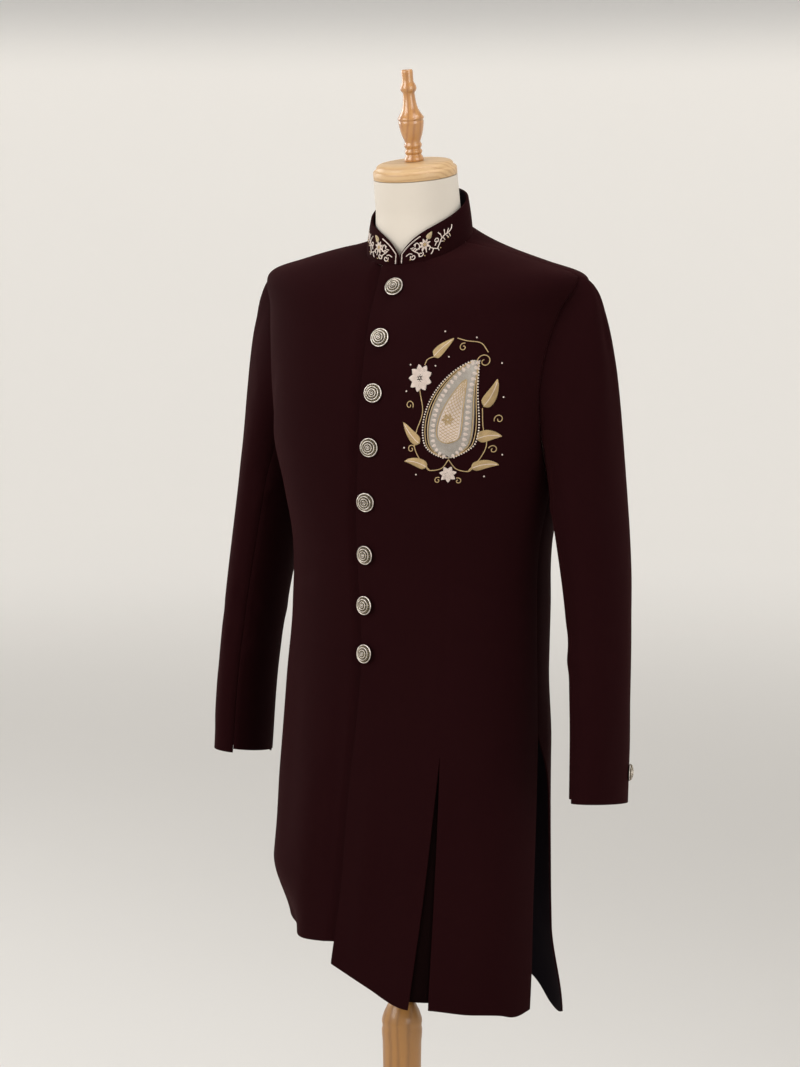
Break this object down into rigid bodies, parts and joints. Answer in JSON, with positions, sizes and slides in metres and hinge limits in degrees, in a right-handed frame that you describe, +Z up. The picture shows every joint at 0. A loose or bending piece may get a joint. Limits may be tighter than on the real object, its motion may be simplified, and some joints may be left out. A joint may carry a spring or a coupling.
{
  "type": "sherwani coat on dress form",
  "caption": "Knee-length sherwani coat with stand collar, domed buttons, side slits and an open front pleat, worn by a limbless dress form on a turned wooden stand.",
  "frame": {"origin": "on the floor under the pole, at the middle of the bounding box's underside", "axes": "+Z up along the pole, the coat faces -Y, the wearer's left is +X"},
  "size_m": [0.6024, 0.42, 1.6757],
  "materials": {
    "wine_suiting": "matte close-woven suiting, very dark wine",
    "button_metal": "antiqued silver wire rings with olive gold dashes",
    "gold_thread": "khaki gold couched thread",
    "cream_thread": "cream and pink-white satin stitch",
    "form_jersey": "cream stretch jersey cover",
    "pale_pine": "pale turned pine, satin varnish",
    "orange_wood": "orange-tan turned wood, gloss varnish",
    "golden_wood": "golden turned wood, varnish",
    "rod_steel": "plain steel tube"
  },
  "bodies": {
    "root": {"front_left": "wine_suiting", "front_right": "wine_suiting", "pleat_underlay_left": "wine_suiting", "back_left": "wine_suiting", "back_right": "wine_suiting", "sleeve_left_top": "wine_suiting", "sleeve_left_under": "wine_suiting", "sleeve_right_top": "wine_suiting", "sleeve_right_under": "wine_suiting", "collar": "wine_suiting", "button_1": "button_metal", "button_2": "button_metal", "button_3": "button_metal", "button_4": "button_metal", "button_5": "button_metal", "button_6": "button_metal", "button_7": "button_metal", "button_8": "button_metal", "cuff_button_left": "button_metal", "collar_border_left": "gold_thread", "collar_flower_left": "cream_thread", "cuff_button_right": "button_metal", "collar_border_right": "gold_thread", "collar_flower_right": "cream_thread", "chest_paisley": "cream_thread", "chest_leaf_1": "gold_thread", "chest_leaf_2": "gold_thread", "chest_leaf_3": "gold_thread", "chest_leaf_4": "gold_thread", "chest_leaf_5": "gold_thread", "chest_leaf_6": "gold_thread", "chest_flower_1": "cream_thread", "chest_flower_2": "cream_thread", "form_body": "form_jersey", "neck_cap": "pale_pine", "finial": "orange_wood", "stand_rod": "rod_steel", "stand_pole": "golden_wood", "stand_base": "golden_wood"}
  },
  "joints": []
}
